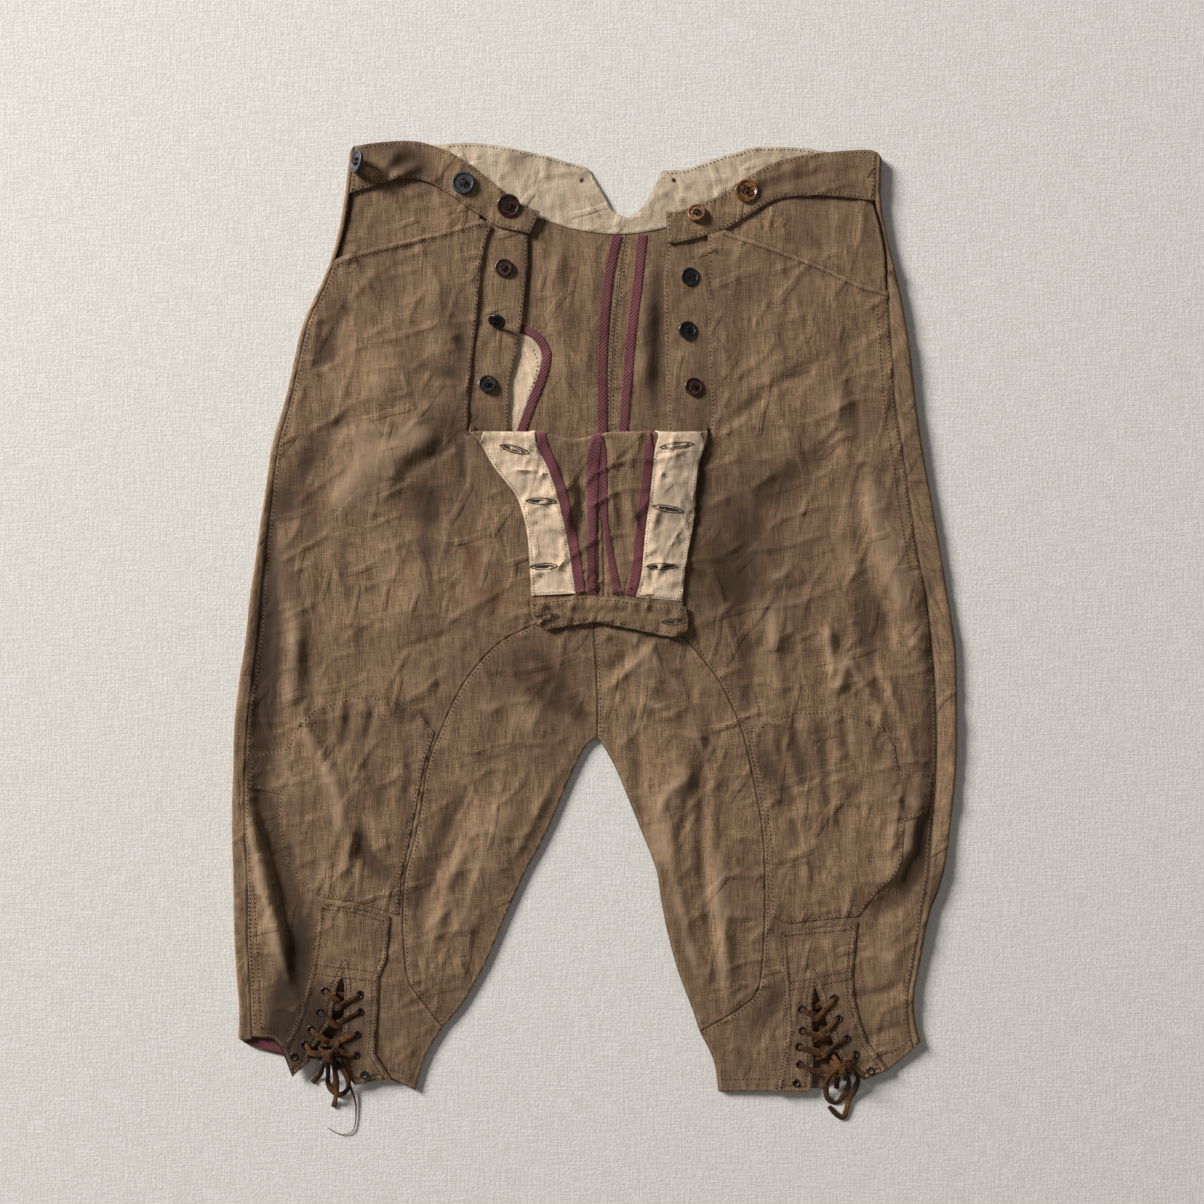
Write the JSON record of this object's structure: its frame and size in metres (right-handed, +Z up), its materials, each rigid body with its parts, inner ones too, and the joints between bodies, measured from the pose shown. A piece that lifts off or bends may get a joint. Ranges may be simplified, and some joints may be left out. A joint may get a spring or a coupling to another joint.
{
  "type": "knee breeches",
  "caption": "Knee breeches laid flat front up, fall flap folded down over a buttoned opening, shaped knee patches and laced slits at the hems.",
  "frame": {"origin": "middle of the garment's outline in plan, at the surface it lies on, measured without the laces", "axes": "+X towards the wearer's left, +Y from the hems to the waist, +Z up from the surface the garment lies on"},
  "size_m": [0.5812, 0.7831, 0.0216],
  "materials": {
    "cloth": "matte weave",
    "facing": "matte weave",
    "tape": "ribbed twill",
    "suede": "suede",
    "eyelet": "worn dark metal",
    "button_black": "polished",
    "button_grey": "dulled",
    "button_brown": "polished",
    "button_horn": "polished"
  },
  "bodies": {
    "root": {"back_facing": "facing", "back_left": "cloth", "back_right": "cloth", "button_stand_left": "cloth", "button_stand_left_1": "button_black", "button_stand_left_2": "button_black", "button_stand_left_3": "button_brown", "button_stand_right": "cloth", "button_stand_right_1": "button_brown", "button_stand_right_2": "button_black", "button_stand_right_3": "button_black", "button_waist_left_1": "button_horn", "button_waist_left_2": "button_horn", "button_waist_right_1": "button_grey", "button_waist_right_2": "button_grey", "button_waist_right_3": "button_brown", "eyelet_left_a1": "eyelet", "eyelet_left_a2": "eyelet", "eyelet_left_a3": "eyelet", "eyelet_left_a4": "eyelet", "eyelet_left_a5": "eyelet", "eyelet_left_b1": "eyelet", "eyelet_left_b2": "eyelet", "eyelet_left_b3": "eyelet", "eyelet_left_b4": "eyelet", "eyelet_left_b5": "eyelet", "eyelet_right_a1": "eyelet", "eyelet_right_a2": "eyelet", "eyelet_right_a3": "eyelet", "eyelet_right_a4": "eyelet", "eyelet_right_a5": "eyelet", "eyelet_right_b1": "eyelet", "eyelet_right_b2": "eyelet", "eyelet_right_b3": "eyelet", "eyelet_right_b4": "eyelet", "eyelet_right_b5": "eyelet", "flap_band": "cloth", "flap_binding_left": "tape", "flap_binding_right": "tape", "flap_centre_binding": "tape", "flap_facing_left": "facing", "flap_facing_right": "facing", "front_left": "cloth", "front_right": "cloth", "hip_piece_left": "cloth", "hip_piece_right": "cloth", "inner_leg_left": "cloth", "inner_leg_right": "cloth", "knee_patch_left": "cloth", "knee_patch_right": "cloth", "lace_left": "suede", "lace_placket_left": "cloth", "lace_placket_right": "cloth", "lace_right": "suede", "pocket_bag": "facing", "pocket_binding": "tape", "seat_binding_left": "tape", "seat_binding_right": "tape", "waistband_left": "cloth", "waistband_right": "cloth"}
  },
  "joints": []
}
